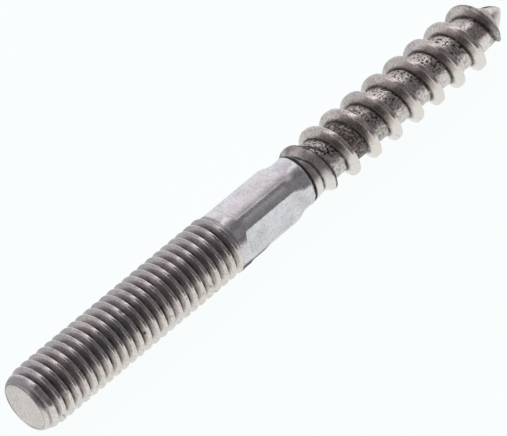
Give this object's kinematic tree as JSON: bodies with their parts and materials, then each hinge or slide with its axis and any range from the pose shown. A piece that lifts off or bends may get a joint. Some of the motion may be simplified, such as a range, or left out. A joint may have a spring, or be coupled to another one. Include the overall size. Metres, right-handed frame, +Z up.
{
  "type": "hanger bolt",
  "caption": "Steel hanger bolt: metric thread with a bevelled end, plain shank with a pressed wrench square, and a coarse wood-screw thread with a blunt point.",
  "frame": {"origin": "on the surface the bolt lies on, under the middle of its length", "axes": "+X along the bolt's axis, from the metric end to the point; +Z up from the surface it lies on"},
  "size_m": [0.08, 0.008, 0.008],
  "materials": {
    "steel": "dull rolled steel, darker in the thread roots"
  },
  "bodies": {
    "root": {"hanger_bolt": "steel"}
  },
  "joints": []
}
